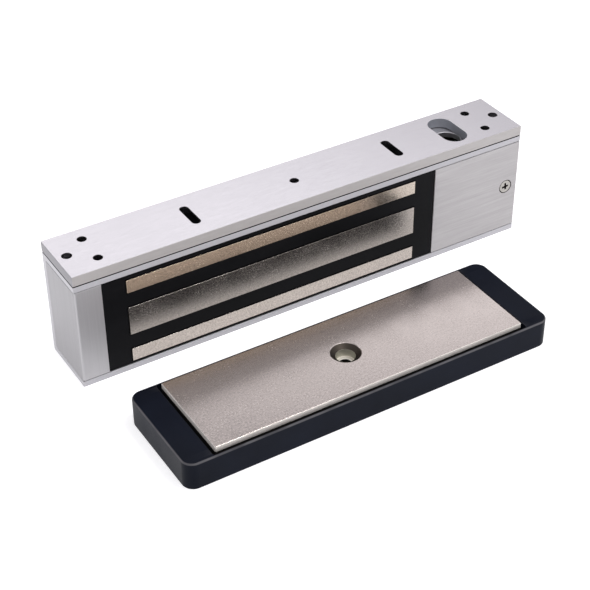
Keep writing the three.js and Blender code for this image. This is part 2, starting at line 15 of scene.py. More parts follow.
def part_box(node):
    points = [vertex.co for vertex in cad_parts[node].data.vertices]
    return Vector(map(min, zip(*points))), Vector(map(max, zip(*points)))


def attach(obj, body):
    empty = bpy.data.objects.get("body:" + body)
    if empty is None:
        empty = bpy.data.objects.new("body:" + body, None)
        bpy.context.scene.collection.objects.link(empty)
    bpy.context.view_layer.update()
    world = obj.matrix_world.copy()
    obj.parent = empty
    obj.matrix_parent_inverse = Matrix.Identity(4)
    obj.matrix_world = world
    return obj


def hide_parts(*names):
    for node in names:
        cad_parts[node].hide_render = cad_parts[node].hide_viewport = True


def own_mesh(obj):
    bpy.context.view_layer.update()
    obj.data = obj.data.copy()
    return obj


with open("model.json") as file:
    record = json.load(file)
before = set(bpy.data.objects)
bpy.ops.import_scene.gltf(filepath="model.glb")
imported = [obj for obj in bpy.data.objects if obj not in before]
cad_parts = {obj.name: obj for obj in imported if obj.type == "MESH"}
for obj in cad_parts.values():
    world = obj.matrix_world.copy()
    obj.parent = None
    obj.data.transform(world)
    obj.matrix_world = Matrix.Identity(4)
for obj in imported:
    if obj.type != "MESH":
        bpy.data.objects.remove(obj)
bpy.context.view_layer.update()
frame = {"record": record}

MM = 0.001
BODY_OF = {
    node: body
    for body, nodes in frame["record"]["behaviour"]["bodies"].items()
    for node in nodes
}
SLOT_OF = {row["node"]: row["material_slot"] for row in frame["record"]["subparts"]}


def box_mm(node):
    """Lowest and highest corners of a CAD node, in millimetres."""
    low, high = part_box(node)
    return low / MM, high / MM


def middle_mm(node):
    """The middle of a CAD node's box, in millimetres."""
    low, high = box_mm(node)
    return (low + high) / 2


X, Y, Z = range(3)
PLATE_LOW, PLATE_HIGH = box_mm("mounting_plate")
CHANNEL_LOW, CHANNEL_HIGH = box_mm("housing_channel")
CORE_LOW, CORE_HIGH = box_mm("core_stack")
STEEL_LOW, STEEL_HIGH = box_mm("armature_plate")
MID_Y = (PLATE_LOW.y + PLATE_HIGH.y) / 2
WIRE_HOLE = (PLATE_LOW.x + 263.2, MID_Y)
BOLT_X = [sum(b.x for b in box_mm(f"magnet_bolt_{side}")) / 2 for side in ("left", "right")]
GUIDE_X = [sum(b.x for b in box_mm(f"guide_pin_{side}")) / 2 for side in ("left", "right")]


# ---- camera, floor and light


def make_camera():
    """The place, direction and lens that a camera fit found for the photograph."""
    camera = bpy.data.objects.new("camera", bpy.data.cameras.new("camera"))
    bpy.context.scene.collection.objects.link(camera)
    camera.data.sensor_width = 36
    camera.data.lens = 91.35
    camera.location = (-0.38614, -0.58662, 0.54517)
    heading, tilt, roll = math.radians(31.097), math.radians(36.485), math.radians(-0.498)
    flat = math.cos(tilt)
    forward = Vector((math.sin(heading) * flat, math.cos(heading) * flat, -math.sin(tilt)))
    camera.rotation_mode = "QUATERNION"
    level = forward.to_track_quat("-Z", "Y")
    camera.rotation_quaternion = level @ Matrix.Rotation(roll, 4, "Z").to_quaternion()
    bpy.context.scene.camera = camera


FLOOR_GLOW = 0.5  # the white sweep is lit from below as well, which thins the shadows on it


def make_floor():
    mesh = bpy.data.meshes.new("floor")
    half = 6
    corners = [(-half, -half, 0), (half, -half, 0), (half, half, 0), (-half, half, 0)]
    mesh.from_pydata(corners, [], [(0, 1, 2, 3)])
    floor = bpy.data.objects.new("floor", mesh)
    floor.location.z = -0.1 * MM
    bpy.context.scene.collection.objects.link(floor)
    material = bpy.data.materials.new("floor_white")
    material.use_nodes = True
    shader = material.node_tree.nodes["Principled BSDF"]
    shader.inputs["Base Color"].default_value = (0.75, 0.75, 0.755, 1)
    shader.inputs["Roughness"].default_value = 0.9
    shader.inputs["Specular IOR Level"].default_value = 0.1
    shader.inputs["Emission Color"].default_value = (1, 1, 1, 1)
    shader.inputs["Emission Strength"].default_value = FLOOR_GLOW
    mesh.materials.append(material)


def make_lamp():
    """A small soft lamp over the front right, aimed at the middle of the floor."""
    light = bpy.data.lights.new("overhead_front", "AREA")
    light.shape = "RECTANGLE"
    light.size = light.size_y = 0.25
    light.energy = 9
    lamp = bpy.data.objects.new("overhead_front", light)
    place = Vector((0.45, -0.35, 1.6))
    lamp.location = place
    lamp.rotation_euler = (-place).to_track_quat("-Z", "Y").to_euler()
    bpy.context.scene.collection.objects.link(lamp)


def make_world():
    """A pale studio: an even front, and a bright strip of light above and behind the object."""
    world = bpy.data.worlds.new("studio")
    bpy.context.scene.world = world
    world.use_nodes = True
    nodes, links = world.node_tree.nodes, world.node_tree.links
    coordinate = nodes.new("ShaderNodeTexCoord")
    split = nodes.new("ShaderNodeSeparateXYZ")
    links.new(coordinate.outputs["Generated"], split.inputs["Vector"])

    def ramp(value, stops):
        made = nodes.new("ShaderNodeValToRGB")
        made.color_ramp.interpolation = "EASE"
        elements = made.color_ramp.elements
        while len(elements) < len(stops):
            elements.new(0.5)
        for element, (place, level) in zip(elements, stops):
            element.position = place
            element.color = (level, level * 0.985, level * 1.02, 1)
        links.new(value, made.inputs["Fac"])
        return made.outputs["Color"]

    def sine(degrees):
        return math.sin(math.radians(degrees))

    strip = [(sine(27), 0.8), (sine(34.5), 3.0), (sine(36), 3.0), (sine(41), 0.55)]
    back_sky = ramp(split.outputs["Z"], [(0, 0.8), *strip, (1, 0.8)])
    front_sky = ramp(split.outputs["Z"], [(0, 1.0), (sine(40), 1.25), (1, 1.0)])
    fade = nodes.new("ShaderNodeMapRange")  # the sky behind is dimmer towards the right
    for key, number in (("From Min", 0.42), ("From Max", 0.6), ("To Min", 0.83), ("To Max", 0.62)):
        fade.inputs[key].default_value = number
    links.new(split.outputs["X"], fade.inputs["Value"])
    dimmed = nodes.new("ShaderNodeVectorMath")
    dimmed.operation = "SCALE"
    links.new(back_sky, dimmed.inputs[0])
    links.new(fade.outputs["Result"], dimmed.inputs["Scale"])
    backness = nodes.new("ShaderNodeMapRange")
    backness.inputs["From Min"].default_value = -0.15
    backness.inputs["From Max"].default_value = 0.25
    links.new(split.outputs["Y"], backness.inputs["Value"])
    both = nodes.new("ShaderNodeMix")
    both.data_type = "RGBA"
    links.new(backness.outputs["Result"], both.inputs["Factor"])
    links.new(front_sky, both.inputs["A"])
    links.new(dimmed.outputs["Vector"], both.inputs["B"])
    links.new(both.outputs["Result"], nodes["Background"].inputs["Color"])
    nodes["Background"].inputs["Strength"].default_value = 1.0


make_camera()
make_floor()
make_world()
make_lamp()
bpy.context.scene.view_settings.view_transform = "Standard"


# ---- materials


class Surface:
    """A node material: one Principled shader fed by procedural textures in object space."""

    def __init__(self, name, colour, roughness, metallic=0.0, specular=0.5):
        self.name = name
        self.material = bpy.data.materials.new(name)
        self.material.use_nodes = True
        self.nodes = self.material.node_tree.nodes
        self.links = self.material.node_tree.links
        self.shader = self.nodes["Principled BSDF"]
        self.shader.inputs["Base Color"].default_value = (*colour, 1)
        self.shader.inputs["Roughness"].default_value = roughness
        self.shader.inputs["Metallic"].default_value = metallic
        self.shader.inputs["Specular IOR Level"].default_value = specular
        self.place = self.nodes.new("ShaderNodeTexCoord").outputs["Object"]

    def node(self, kind, **settings):
        made = self.nodes.new(kind)
        for key, value in settings.items():
            setattr(made, key, value)
        return made

    def feed(self, socket, value):
        """Links an output, or sets a plain number or colour."""
        if isinstance(value, bpy.types.NodeSocket):
            self.links.new(value, socket)
        else:
            socket.default_value = (*value, 1) if isinstance(value, tuple) else value

    def scaled_place(self, stretch, shift=(0, 0, 0)):
        mapping = self.node("ShaderNodeMapping")
        self.links.new(self.place, mapping.inputs["Vector"])
        mapping.inputs["Scale"].default_value = stretch
        mapping.inputs["Location"].default_value = shift
        return mapping.outputs["Vector"]

    def noise(self, stretch, detail=2.0, rough=0.5, shift=(0, 0, 0)):
        """Noise from 0 to 1, whose grains are one over stretch metres long on each axis."""
        texture = self.node("ShaderNodeTexNoise")
        self.links.new(self.scaled_place(stretch, shift), texture.inputs["Vector"])
        texture.inputs["Scale"].default_value = 1
        texture.inputs["Detail"].default_value = detail
        texture.inputs["Roughness"].default_value = rough
        return texture.outputs["Fac"]

    def math(self, operation, a, b=0.0):
        made = self.node("ShaderNodeMath", operation=operation)
        self.feed(made.inputs[0], a)
        self.feed(made.inputs[1], b)
        return made.outputs["Value"]

    def ranged(self, value, low, high, start=0.0, stop=1.0):
        """Maps value from start..stop to low..high, held at the ends."""
        made = self.node("ShaderNodeMapRange", clamp=True)
        self.feed(made.inputs["Value"], value)
        for key, number in (("From Min", start), ("From Max", stop), ("To Min", low), ("To Max", high)):
            made.inputs[key].default_value = number
        return made.outputs["Result"]

    def mixed(self, factor, a, b):
        made = self.node("ShaderNodeMix", data_type="RGBA")
        self.feed(made.inputs["Factor"], factor)
        self.feed(made.inputs["A"], a)
        self.feed(made.inputs["B"], b)
        return made.outputs["Result"]

    def current(self, name):
        """The output that feeds one of the shader's inputs now."""
        return self.shader.inputs[name].links[0].from_socket

    def paint(self, colour):
        self.links.new(colour, self.shader.inputs["Base Color"])

    def rough(self, value):
        self.links.new(value, self.shader.inputs["Roughness"])

    def bump(self, height, distance, strength=1.0):
        """Adds relief, distance metres deep, on top of any relief before it."""
        made = self.node("ShaderNodeBump")
        made.inputs["Distance"].default_value = distance
        made.inputs["Strength"].default_value = strength
        self.links.new(height, made.inputs["Height"])
        normal = self.shader.inputs["Normal"]
        if normal.is_linked:
            self.links.new(normal.links[0].from_socket, made.inputs["Normal"])
        self.links.new(made.outputs["Normal"], normal)


def tinted(colour, factor):
    return tuple(channel * factor for channel in colour)


def brushed(name, colour, roughness, grain, contrast=0.1, length=1.0):
    """Brushed metal. grain is the axis, 0 to 2, that the brush ran along, and length scales how
    long its marks are."""
    skin = Surface(name, colour, roughness, 1.0)

    def stretch(along, across):
        return tuple(along / length if axis == grain else across for axis in range(3))

    fine = skin.noise(stretch(18, 1300), detail=3, rough=0.7)
    streak = skin.noise(stretch(5, 420), detail=2, shift=(3, 5, 7))
    cloud = skin.noise((22, 22, 22), detail=3, shift=(1, 2, 3))
    lines = skin.math("ADD", skin.math("MULTIPLY", fine, 0.65), skin.math("MULTIPLY", streak, 0.35))
    tone = skin.ranged(lines, 0, 1, 0.3, 0.7)
    shade = skin.mixed(tone, tinted(colour, 1 - contrast), tinted(colour, 1 + contrast))
    dull = skin.ranged(cloud, 0, 0.35, 0.35, 0.75)
    skin.paint(skin.mixed(dull, shade, tinted(colour, 0.93)))
    spread = min(0.065, contrast * 0.6)
    skin.rough(skin.ranged(lines, roughness + spread, roughness - spread, 0.3, 0.7))
    skin.bump(lines, 0.1 * contrast * MM, 0.5)
    return skin


def plated_steel(name, colour, roughness, mottle, speckle=0.12, relief=0.01, fine=900):
    """Ground and plated steel: fine speckle over soft, cloudy mottling. relief is in millimetres,
    and the speckle's grains are one over fine metres across."""
    skin = Surface(name, colour, roughness, 1.0)
    cloud = skin.noise((55, 55, 70), detail=4, rough=0.6)
    grit = skin.noise((fine, fine, fine), detail=2, rough=0.7, shift=(2, 9, 4))
    stain = skin.noise((160, 160, 190), detail=4, rough=0.65, shift=(7, 1, 5))
    tone = skin.ranged(cloud, 0, 1, 0.35, 0.68)
    base = skin.mixed(tone, tinted(colour, 1 - mottle), tinted(colour, 1 + mottle * 0.5))
    stained = skin.ranged(stain, 0, 0.5, 0.52, 0.74)
    worn = skin.mixed(stained, base, tinted(colour, 1 - mottle * 1.4))
    grain = skin.ranged(grit, 1 - speckle, 1 + speckle, 0.3, 0.7)
    bright = skin.node("ShaderNodeVectorMath", operation="SCALE")
    skin.links.new(worn, bright.inputs[0])
    skin.links.new(grain, bright.inputs["Scale"])
    skin.paint(bright.outputs["Vector"])
    gloss = skin.ranged(cloud, roughness - 0.025, roughness + 0.03, 0.35, 0.7)
    skin.rough(skin.math("ADD", gloss, skin.ranged(grit, -0.03, 0.05, 0.3, 0.7)))
    skin.bump(grit, relief * MM, 0.5)
    return skin


def parts_of_place(skin):
    split = skin.node("ShaderNodeSeparateXYZ")
    skin.links.new(skin.place, split.inputs["Vector"])
    return split.outputs


def blended(skin, mask, colour, roughness):
    """Where mask is 1, the surface takes this colour and roughness instead of its own."""
    top_rough = skin.current("Roughness")
    skin.paint(skin.mixed(mask, skin.current("Base Color"), colour))
    change = skin.math("MULTIPLY", mask, skin.math("SUBTRACT", roughness, top_rough))
    skin.rough(skin.math("ADD", top_rough, change))


def rim_mask(skin, low, high, width):
    """1 within width millimetres of the outer walls of the box from low to high, else 0."""
    place = parts_of_place(skin)
    masks = []
    for axis in (X, Y):
        offset = skin.math("SUBTRACT", place[axis], (low[axis] + high[axis]) / 2 * MM)
        reach = skin.math("ABSOLUTE", offset)
        edge = (high[axis] - low[axis]) / 2 - width
        masks.append(skin.ranged(reach, 0, 1, (edge - 0.1) * MM, edge * MM))
    return skin.math("MAXIMUM", *masks)


def level_mask(skin, axis, low, high):
    """1 from low to high millimetres along an axis, else 0."""
    place = parts_of_place(skin)[axis]
    above = skin.ranged(place, 0, 1, (low - 0.1) * MM, low * MM)
    below = skin.ranged(place, 1, 0, high * MM, (high + 0.1) * MM)
    return skin.math("MULTIPLY", above, below)


def sawn_walls(skin, low, high, colour, roughness, shown):
    """The outer walls of a block from low to high (millimetres) have their own tone, down to shown
    below the top, and are dark further down, where no light gets in."""
    streak = skin.noise((90, 90, 900), detail=3, shift=(4, 4, 1))
    walls = skin.mixed(skin.ranged(streak, 0, 1, 0.3, 0.7), tinted(colour, 0.92), colour)
    shade = level_mask(skin, Z, low.z - 1, high.z - shown)
    walls = skin.mixed(shade, walls, tinted(colour, 0.05))
    blended(skin, rim_mask(skin, low, high, 0.1), walls, roughness)


def painted_seam_shade(skin, low, high, unshaded):
    """Painted shade: the top of the block from low to high (millimetres) is painted dark, in the seam
    under the plate and under its holes, but for the part inside its rim that lies in the range unshaded
    along X."""
    shaded = rim_mask(skin, low, high, 3)
    for start, stop in ((low.x - 1, unshaded[0]), (unshaded[1], high.x + 1)):
        shaded = skin.math("MAXIMUM", shaded, level_mask(skin, X, start, stop))
    top = level_mask(skin, Z, high.z - 0.12, high.z + 1)
    blended(skin, skin.math("MULTIPLY", shaded, top), (0.02, 0.02, 0.022), 0.8)


def matt_front(skin, front, colour, roughness):
    """The cut edges that face the front have their own tone and are rougher."""
    blended(skin, level_mask(skin, Y, front - 1, front + 0.12), colour, roughness)


def slot_walls(skin, centre, half, top, colour, roughness):
    """The walls inside a slot have their own tone. centre and half are in millimetres."""
    mask = level_mask(skin, Z, 0, top - 0.15)
    for axis in (X, Y):
        within = level_mask(skin, axis, centre[axis] - half[axis], centre[axis] + half[axis])
        mask = skin.math("MULTIPLY", mask, within)
    blended(skin, mask, colour, roughness)


def painted_edge_highlight(skin, colour):
    """Painted highlight: the edges that are rounded towards the top are painted lighter, in patches."""
    normal = skin.node("ShaderNodeTexCoord").outputs["Normal"]
    split = skin.node("ShaderNodeSeparateXYZ")
    skin.links.new(normal, split.inputs["Vector"])
    lift = split.outputs["Z"]
    rising = skin.ranged(lift, 0, 1, 0.05, 0.4)
    falling = skin.ranged(lift, 1, 0, 0.85, 0.99)
    patchy = skin.ranged(skin.noise((70, 70, 70), detail=2, shift=(6, 3, 1)), 0.55, 1, 0.35, 0.6)
    mask = skin.math("MULTIPLY", skin.math("MULTIPLY", rising, falling), patchy)
    skin.paint(skin.mixed(mask, skin.current("Base Color"), colour))


def bore_mask(skin, centre, radius, axis, low, high):
    """1 inside a bore of this radius, from low to high along its axis (millimetres), else 0."""
    place = parts_of_place(skin)
    squares = []
    for side in (X, Y, Z):
        if side != axis:
            offset = skin.math("SUBTRACT", place[side], centre[side] * MM)
            squares.append(skin.math("MULTIPLY", offset, offset))
    distance = skin.math("SQRT", skin.math("ADD", *squares))
    inside = skin.ranged(distance, 1, 0, (radius - 0.1) * MM, (radius + 0.05) * MM)
    return skin.math("MULTIPLY", inside, level_mask(skin, axis, low, high))


def tint(skin, mask, colour):
    """Multiplies the surface's colour by this one where mask is 1."""
    made = skin.node("ShaderNodeVectorMath", operation="MULTIPLY")
    skin.links.new(skin.current("Base Color"), made.inputs[0])
    skin.links.new(skin.mixed(mask, (1.0, 1.0, 1.0), colour), made.inputs[1])
    skin.paint(made.outputs["Vector"])


def moulded(name, colour, roughness, specular=0.35, grain=0.02, lift=1.6):
    """Moulded plastic with a fine satin grain and a little unevenness of tone and gloss."""
    skin = Surface(name, colour, roughness, 0.0, specular)
    cloud = skin.noise((35, 35, 35), detail=3)
    grit = skin.noise((1400, 1400, 1400), detail=2, rough=0.6)
    tone = skin.ranged(cloud, 0, 1, 0.3, 0.7)
    skin.paint(skin.mixed(tone, colour, tinted(colour, lift)))
    gloss = skin.ranged(cloud, roughness - 0.06, roughness + 0.06, 0.3, 0.7)
    skin.rough(skin.math("ADD", gloss, skin.ranged(grit, -0.04, 0.04, 0.3, 0.7)))
    skin.bump(grit, grain * MM, 0.6)
    return skin


def cast_resin():
    """The potting: nearly black and satin, with faint flow marks and a slight orange peel."""
    colour = (0.0025, 0.0026, 0.0032)
    skin = Surface("potting_resin", colour, 0.4, 0.0, 0.06)
    flow = skin.noise((14, 14, 40), detail=3, rough=0.5)
    peel = skin.noise((260, 260, 260), detail=2)
    tone = skin.ranged(flow, 0, 1, 0.35, 0.7)
    skin.paint(skin.mixed(tone, colour, (0.005, 0.005, 0.0062)))
    skin.rough(skin.ranged(flow, 0.36, 0.52, 0.3, 0.7))
    skin.bump(peel, 0.05 * MM, 0.5)
    skin.bump(flow, 0.5 * MM, 0.4)
    return skin


def wound_copper():
    """Enamelled wire: the turns show as fine ridges that run round the coil."""
    skin = Surface("coil_copper", (0.62, 0.27, 0.12), 0.28, 1.0)
    wave = skin.node("ShaderNodeTexWave", wave_type="BANDS", bands_direction="Y")
    skin.links.new(skin.place, wave.inputs["Vector"])
    wave.inputs["Scale"].default_value = 320
    wave.inputs["Distortion"].default_value = 0.3
    ridge = wave.outputs["Fac"]
    # painted shade: the grooves between the turns are darker
    tone = skin.ranged(ridge, 0, 1, 0.0, 0.6)
    skin.paint(skin.mixed(tone, (0.2, 0.06, 0.02), (0.7, 0.32, 0.15)))
    skin.bump(ridge, 0.25 * MM, 0.9)
    return skin


def board_laminate():
    """Green solder mask over a faint weave."""
    skin = Surface("board_laminate", (0.008, 0.08, 0.028), 0.35, 0.0, 0.5)
    weave = skin.node("ShaderNodeTexChecker")
    skin.links.new(skin.place, weave.inputs["Vector"])
    weave.inputs["Scale"].default_value = 1100
    cloud = skin.noise((90, 90, 90), detail=3)
    tone = skin.ranged(cloud, 0, 1, 0.3, 0.7)
    skin.paint(skin.mixed(tone, (0.006, 0.062, 0.022), (0.01, 0.1, 0.036)))
    skin.bump(weave.outputs["Fac"], 0.01 * MM, 0.4)
    return skin


SHADED_LEFT_END = (PLATE_LOW.x - 1, PLATE_LOW.x + 0.1)  # the range along X that holds the left end faces, painted darker as shade
PLATE_METAL = brushed("plate_aluminium", (0.53, 0.515, 0.535), 0.24, X, 0.025, 0.08)
sawn_walls(PLATE_METAL, PLATE_LOW, PLATE_HIGH, (0.52, 0.502, 0.495), 0.74, 6.2)
# painted shade: the plate's left end face is darker and bluer
tint(PLATE_METAL, level_mask(PLATE_METAL, X, *SHADED_LEFT_END), (0.77, 0.79, 0.83))
slot_walls(PLATE_METAL, WIRE_HOLE, (8.5, 15.6), PLATE_HIGH.z, (0.42, 0.435, 0.47), 0.65)
HOUSING_METAL = brushed("housing_aluminium", (0.5, 0.495, 0.515), 0.5, X, 0.06)
matt_front(HOUSING_METAL, CHANNEL_LOW.y, (0.555, 0.55, 0.57), 0.8)
# painted shade on the channel's top, in the seam under the plate and under its holes
painted_seam_shade(HOUSING_METAL, CHANNEL_LOW, CHANNEL_HIGH, (WIRE_HOLE[X] - 10, WIRE_HOLE[X] + 10))

ARMATURE_NICKEL = plated_steel("armature_nickel", (0.49, 0.44, 0.415), 0.22, 0.03, 0.2, 0.005)
sawn_walls(ARMATURE_NICKEL, STEEL_LOW, STEEL_HIGH, (0.80, 0.77, 0.73), 0.75, 3.3)
ARMATURE_MID = middle_mm("armature_plate")
WELL_TONES_AND_SHADING = [  # radius, depth of its top and bottom, colour, roughness; mostly painted light and shade
    # painted shade: the countersink's cone is nearly black
    (9.1, 0.3, 2.45, (0.05, 0.042, 0.035), 0.45),
    (6.0, 2.45, 7.3, (0.46, 0.45, 0.385), 0.55),
    # painted light: the deep ledge is painted pale, as if lit from above
    (6.0, 7.3, 7.7, (0.9, 0.87, 0.81), 0.55),
    # painted shade: the hole below the ledge is painted black
    (3.75, 7.7, 30, (0.02, 0.02, 0.018), 0.6),
]
for radius, top, bottom, colour, roughness in WELL_TONES_AND_SHADING:
    depths = (STEEL_HIGH.z - bottom, STEEL_HIGH.z - top)
    mask = bore_mask(ARMATURE_NICKEL, ARMATURE_MID, radius, Z, *depths)
    blended(ARMATURE_NICKEL, mask, colour, roughness)

SCREW_MID = middle_mm("cover_screw")
SCREW_FACE = box_mm("cover_screw")[0].y
COVER_METAL = brushed("cover_aluminium", (0.385, 0.372, 0.376), 0.42, X, 0.09, 0.35)
# painted shade: the countersink round the cover screw is darkened
COVER_SINK_SHADE = bore_mask(COVER_METAL, SCREW_MID, 4.7, Y, SCREW_FACE - 1, SCREW_FACE + 20)
tint(COVER_METAL, COVER_SINK_SHADE, (0.06, 0.06, 0.06))
COVER_SCREW_STEEL = plated_steel("cover_screw_steel", (0.4, 0.385, 0.36), 0.2, 0.08)
# painted shade: the screw's cross recess is darkened
SCREW_RECESS_SHADE = bore_mask(COVER_SCREW_STEEL, SCREW_MID, 3.2, Y, SCREW_FACE + 0.4, SCREW_FACE + 4)
tint(COVER_SCREW_STEEL, SCREW_RECESS_SHADE, (0.03, 0.03, 0.03))

POLE_STEEL = plated_steel("pole_steel", (0.435, 0.39, 0.355), 0.22, 0.04, 0.3, 0.005, 1200)
UPPER_POLE = CORE_HIGH.z - 9  # just below the upper pole
MIDDLE_POLE = UPPER_POLE - 30  # just below the middle one
UPPER = level_mask(POLE_STEEL, Z, UPPER_POLE, UPPER_POLE + 20)
FADE = POLE_STEEL.ranged(parts_of_place(POLE_STEEL)[X], 1, 0.3, 20 * MM, 65 * MM)
WARM_REFLECTION = POLE_STEEL.math("MULTIPLY", UPPER, FADE)  # painted reflection: the upper pole is warmer, less so towards the right end
tint(POLE_STEEL, WARM_REFLECTION, (1.26, 1.17, 1.0))
# painted reflection: the middle pole is painted darker
tint(POLE_STEEL, level_mask(POLE_STEEL, Z, MIDDLE_POLE, MIDDLE_POLE + 22), (0.84, 0.85, 0.86))
HOLDER_PLASTIC = moulded("holder_plastic", (0.004, 0.0052, 0.0095), 0.36, 0.05, lift=1.5)
# painted highlight along the holder's rounded top edges
painted_edge_highlight(HOLDER_PLASTIC, (0.09, 0.088, 0.094))

END_METAL = brushed("end_aluminium", (0.425, 0.418, 0.43), 0.5, Z, 0.05)
# painted shade: the end block's left face is darker
tint(END_METAL, level_mask(END_METAL, X, *SHADED_LEFT_END), (0.87, 0.87, 0.87))

SURFACES = [
    PLATE_METAL,
    HOUSING_METAL,
    END_METAL,
    COVER_METAL,
    POLE_STEEL,
    ARMATURE_NICKEL,
    cast_resin(),
    HOLDER_PLASTIC,
    moulded("washer_rubber", (0.012, 0.012, 0.012), 0.8, 0.3, 0.05),
    plated_steel("screw_steel", (0.74, 0.7, 0.62), 0.22, 0.08),
    plated_steel("standoff_brass", (0.72, 0.56, 0.28), 0.25, 0.08),
    plated_steel("bolt_black", (0.05, 0.05, 0.055), 0.38, 0.15),
    wound_copper(),
    moulded("bobbin_nylon", (0.7, 0.66, 0.55), 0.45, 0.5, lift=1.08),
    moulded("lead_black", (0.012, 0.012, 0.013), 0.3, 0.5),
    moulded("lead_red", (0.5, 0.018, 0.012), 0.3, 0.5, lift=1.15),
    board_laminate(),
    moulded("terminal_plastic", (0.02, 0.22, 0.075), 0.42, 0.5, lift=1.15),
    moulded("varistor_epoxy", (0.012, 0.07, 0.34), 0.22, 0.5, lift=1.2),
    moulded("diode_body", (0.012, 0.012, 0.012), 0.3, 0.5),
    moulded("header_plastic", (0.012, 0.012, 0.013), 0.4, 0.5),
]
MATERIALS = {skin.name: skin.material for skin in SURFACES}


# ---- outlines and solids


def arc(centre, radius, start, stop, steps):
    """Points on an arc, both ends included. Angles are in radians."""
    turns = (start + (stop - start) * step / steps for step in range(steps + 1))
    return [(centre[0] + radius * math.cos(t), centre[1] + radius * math.sin(t)) for t in turns]


def polygon(corners, radii, steps=5):
    """Returns outline(inset): the closed polygon, anticlockwise, with each corner rounded to its
    radius and the whole moved inwards by inset. A corner keeps its number of points."""
    count = len(corners)
    points = [Vector(corner) for corner in corners]
    least = 0.02  # no corner is quite sharp

    def outline(inset=0.0):
        made = []
        for i, point in enumerate(points):
            into = (point - points[i - 1]).normalized()
            out = (points[(i + 1) % count] - point).normalized()
            turn = into.x * out.y - into.y * out.x
            side = 1 if turn > 0 else -1
            half = math.acos(max(-1, min(1, into.dot(out)))) / 2
            normal = Vector((-into.y - out.y, into.x + out.x)).normalized()
            corner = point + normal * (inset / math.cos(half))
            radius = max(least, radii[i] - side * inset)
            centre = corner + normal * side * (radius / math.cos(half))
            first = math.atan2(-side * into.x, side * into.y)
            for step in range(steps + 1):
                angle = first + side * 2 * half * step / steps
                made.append((centre.x + radius * math.cos(angle), centre.y + radius * math.sin(angle)))
        return made

    return outline


def rectangle(low, high, radius=0.3, steps=5):
    (x0, y0), (x1, y1) = low, high
    return polygon([(x0, y0), (x1, y0), (x1, y1), (x0, y1)], [radius] * 4, steps)


def slot_outline(x, y, width, length, steps=10):
    """A slot with round ends that runs along the second axis."""
    half, reach = width / 2, length / 2
    low, high = (x - half, y - reach), (x + half, y + reach)
    return rectangle(low, high, half - 0.01, steps)


def circle(x, y, radius, sides=48):
    def outline(inset=0.0):
        ring = arc((x, y), radius - inset, 0, 2 * math.pi, sides)
        return ring[:-1]

    return outline


def softened(low, high, edge_low, edge_high, steps=4):
    """Levels for stack(): (inset, height) up a straight side whose two rims are rounded."""
    quarter = [math.pi / 2 * step / steps for step in range(steps + 1)]
    levels = [(edge_low * (1 - math.sin(t)), low + edge_low * (1 - math.cos(t))) for t in quarter]
    for t in reversed(quarter):
        levels.append((edge_high * (1 - math.sin(t)), high - edge_high * (1 - math.cos(t))))
    return levels


def bevelled(low, high, flat):
    """The same, with flat bevels whose own corners are barely broken."""
    nick = 0.12
    side = [(0, low + flat + nick), (0, high - flat - nick)]
    rim = [(nick * 0.3, high - flat), (flat, high - nick * 0.3), (flat + nick, high)]
    foot = [(inset, low + high - level) for inset, level in reversed(rim)]
    return foot + side + rim


# Each maps the outline's two axes and the height to X, Y and Z, and keeps solids facing out.
ALONG_Z = Matrix(((1, 0, 0), (0, 1, 0), (0, 0, 1)))
ALONG_X = Matrix(((0, 0, 1), (1, 0, 0), (0, 1, 0)))  # outline in Y and Z
FORWARD = Matrix(((1, 0, 0), (0, 0, -1), (0, 1, 0)))  # outline in X and Z, height along -Y


def new_object(name, vertices, faces, axes=ALONG_Z):
    mesh = bpy.data.meshes.new(name)
    mesh.from_pydata([axes @ Vector(v) * MM for v in vertices], [], faces)
    mesh.update()
    made = bpy.data.objects.new(name, mesh)
    bpy.context.scene.collection.objects.link(made)
    return made


def stack(name, outline, levels, axes=ALONG_Z):
    """A closed solid: the outline at each (inset, height), joined level to level and capped."""
    rings = [[(x, y, height) for x, y in outline(inset)] for inset, height in levels]
    count = len(rings[0])
    vertices = [point for ring in rings for point in ring]
    faces = []
    for level in range(len(rings) - 1):
        below, above = level * count, (level + 1) * count
        for i in range(count):
            j = (i + 1) % count
            faces.append((below + i, below + j, above + j, above + i))
    for ring, first, top in ((rings[-1], len(vertices) - count, True), (rings[0], 0, False)):
        cap = tessellate_polygon([[Vector(point) for point in ring]])
        up = sum(signed_area([ring[i] for i in triangle]) for triangle in cap) > 0
        for triangle in cap:
            faces.append(tuple(first + i for i in (triangle if up == top else reversed(triangle))))
    return new_object(name, vertices, faces, axes)


def signed_area(corners):
    (ax, ay, _), (bx, by, _), (cx, cy, _) = corners
    return (bx - ax) * (cy - ay) - (by - ay) * (cx - ax)


def turned(name, profile, place, axes=ALONG_Z, sides=48):
    """A solid of revolution. The profile runs from the axis, out and up, back to the axis."""
    x, y, lift = place
    rings = profile[1:-1]
    vertices = [(x, y, lift + profile[0][1])]
    for radius, height in rings:
        for px, py in circle(x, y, radius, sides)():
            vertices.append((px, py, lift + height))
    vertices.append((x, y, lift + profile[-1][1]))
    faces = []
    for i in range(sides):
        j = (i + 1) % sides
        faces.append((0, 1 + j, 1 + i))
        for level in range(len(rings) - 1):
            below, above = 1 + level * sides, 1 + (level + 1) * sides
            faces.append((below + i, below + j, above + j, above + i))
        top = 1 + (len(rings) - 1) * sides
        faces.append((top + i, top + j, len(vertices) - 1))
    return new_object(name, vertices, faces, axes)


